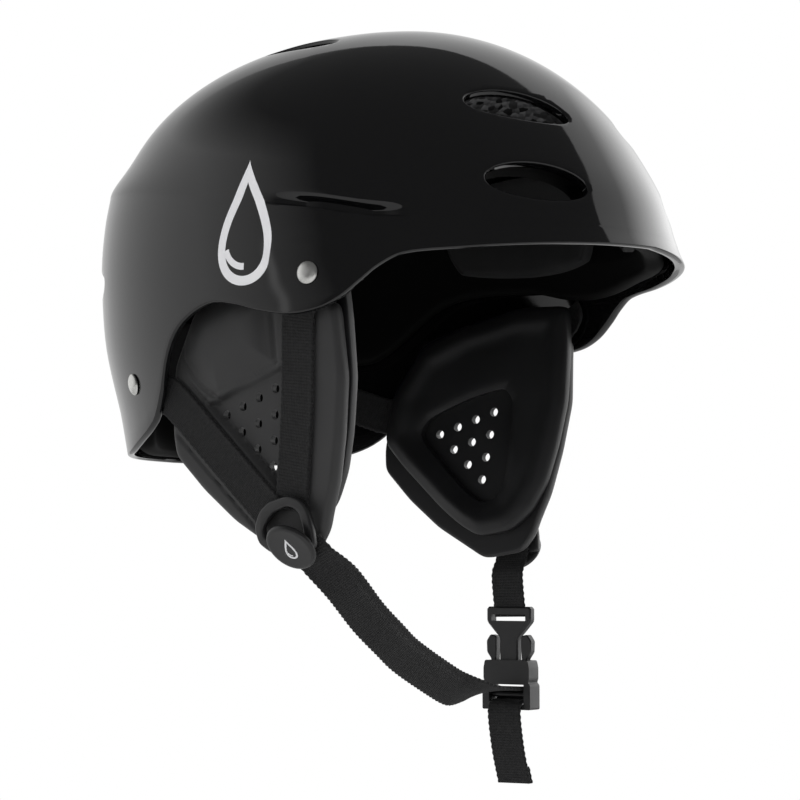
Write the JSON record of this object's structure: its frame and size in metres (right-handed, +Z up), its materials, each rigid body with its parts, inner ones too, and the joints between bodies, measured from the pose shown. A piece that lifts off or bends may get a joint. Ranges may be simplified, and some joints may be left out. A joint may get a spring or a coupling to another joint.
{
  "type": "water sports helmet",
  "caption": "Glossy black water-sports helmet with a short brim, side vents, swinging foam ear pads, webbing chin strap and side-release buckle.",
  "frame": {"origin": "centre of the underside of the crown pad, where the wearer's head carries the helmet", "axes": "+Z up, the wearer faces -Y, the wearer's right ear is on -X"},
  "size_m": [0.2146, 0.2791, 0.3403],
  "materials": {
    "outer_shell": "gloss",
    "foam_liner": "matt closed-cell foam",
    "brow_pad": "matt closed-cell foam",
    "crown_pad": "matt closed-cell foam",
    "side_pad_left": "matt closed-cell foam",
    "side_pad_right": "matt closed-cell foam",
    "rear_pad": "matt closed-cell foam",
    "ear_pad_outer_right": "matt closed-cell foam",
    "ear_pad_outer_left": "matt closed-cell foam",
    "ear_pad_inner_right": "matt closed-cell foam",
    "ear_pad_inner_left": "matt closed-cell foam",
    "front_strap_right": "woven webbing",
    "rear_strap_right": "woven webbing",
    "front_strap_end_right": "woven webbing",
    "rear_strap_end_right": "woven webbing",
    "strap_divider_right": "satin",
    "divider_button_right": "satin",
    "rivet_front_right": "satin",
    "rivet_rear_right": "satin",
    "front_strap_left": "woven webbing",
    "rear_strap_left": "woven webbing",
    "front_strap_end_left": "woven webbing",
    "rear_strap_end_left": "woven webbing",
    "strap_divider_left": "satin",
    "divider_button_left": "satin",
    "rivet_front_left": "satin",
    "rivet_rear_left": "satin",
    "chin_strap_right": "woven webbing",
    "chin_strap_front": "woven webbing",
    "chin_strap_left": "woven webbing",
    "strap_tail": "woven webbing",
    "buckle_male": "satin",
    "buckle_female": "satin",
    "buckle_bar": "satin",
    "buckle_prong_front": "satin",
    "buckle_prong_rear": "satin"
  },
  "bodies": {
    "helmet": {"outer_shell": "outer_shell", "foam_liner": "foam_liner", "brow_pad": "brow_pad", "crown_pad": "crown_pad", "side_pad_left": "side_pad_left", "side_pad_right": "side_pad_right", "rear_pad": "rear_pad", "front_strap_end_right": "front_strap_end_right", "rear_strap_end_right": "rear_strap_end_right", "rivet_front_right": "rivet_front_right", "rivet_rear_right": "rivet_rear_right", "front_strap_end_left": "front_strap_end_left", "rear_strap_end_left": "rear_strap_end_left", "rivet_front_left": "rivet_front_left", "rivet_rear_left": "rivet_rear_left", "chin_strap_right": "chin_strap_right", "chin_strap_front": "chin_strap_front", "chin_strap_left": "chin_strap_left", "buckle_male": "buckle_male"},
    "ear_pad_right": {"ear_pad_outer_right": "ear_pad_outer_right", "ear_pad_inner_right": "ear_pad_inner_right", "front_strap_right": "front_strap_right", "rear_strap_right": "rear_strap_right", "strap_divider_right": "strap_divider_right", "divider_button_right": "divider_button_right"},
    "ear_pad_left": {"ear_pad_outer_left": "ear_pad_outer_left", "ear_pad_inner_left": "ear_pad_inner_left", "front_strap_left": "front_strap_left", "rear_strap_left": "rear_strap_left", "strap_divider_left": "strap_divider_left", "divider_button_left": "divider_button_left"},
    "buckle_socket": {"buckle_female": "buckle_female", "buckle_bar": "buckle_bar", "strap_tail": "strap_tail"},
    "prong_front": {"buckle_prong_front": "buckle_prong_front"},
    "prong_rear": {"buckle_prong_rear": "buckle_prong_rear"}
  },
  "joints": [
    {"name": "ear_pad_right_swing", "type": "hinge", "parent": "helmet", "child": "ear_pad_right", "pos_m": [-0.096, -0.018, -0.116], "axis": [0.1292, 0.9326, -0.3371], "range_deg": [-8, 12], "stiffness_Nm_per_rad": 0.3, "deforming": ["chin_strap_right"]},
    {"name": "ear_pad_left_swing", "type": "hinge", "parent": "helmet", "child": "ear_pad_left", "pos_m": [0.096, -0.018, -0.116], "axis": [0.1292, -0.9326, 0.3371], "range_deg": [-8, 12], "stiffness_Nm_per_rad": 0.3, "deforming": ["chin_strap_left"]},
    {"name": "buckle_release", "type": "slide", "parent": "helmet", "child": "buckle_socket", "axis": [0, 0, -1], "range_m": [0, 0.028], "deforming": ["chin_strap_front"]},
    {"name": "prong_front_squeeze", "type": "hinge", "parent": "helmet", "child": "prong_front", "pos_m": [0.081, -0.0141, -0.2503], "axis": [1, 0, 0], "range_deg": [0, 5], "stiffness_Nm_per_rad": 0.05},
    {"name": "prong_rear_squeeze", "type": "hinge", "parent": "helmet", "child": "prong_rear", "pos_m": [0.081, 0.0001, -0.2503], "axis": [-1, 0, 0], "range_deg": [0, 5], "stiffness_Nm_per_rad": 0.05}
  ]
}
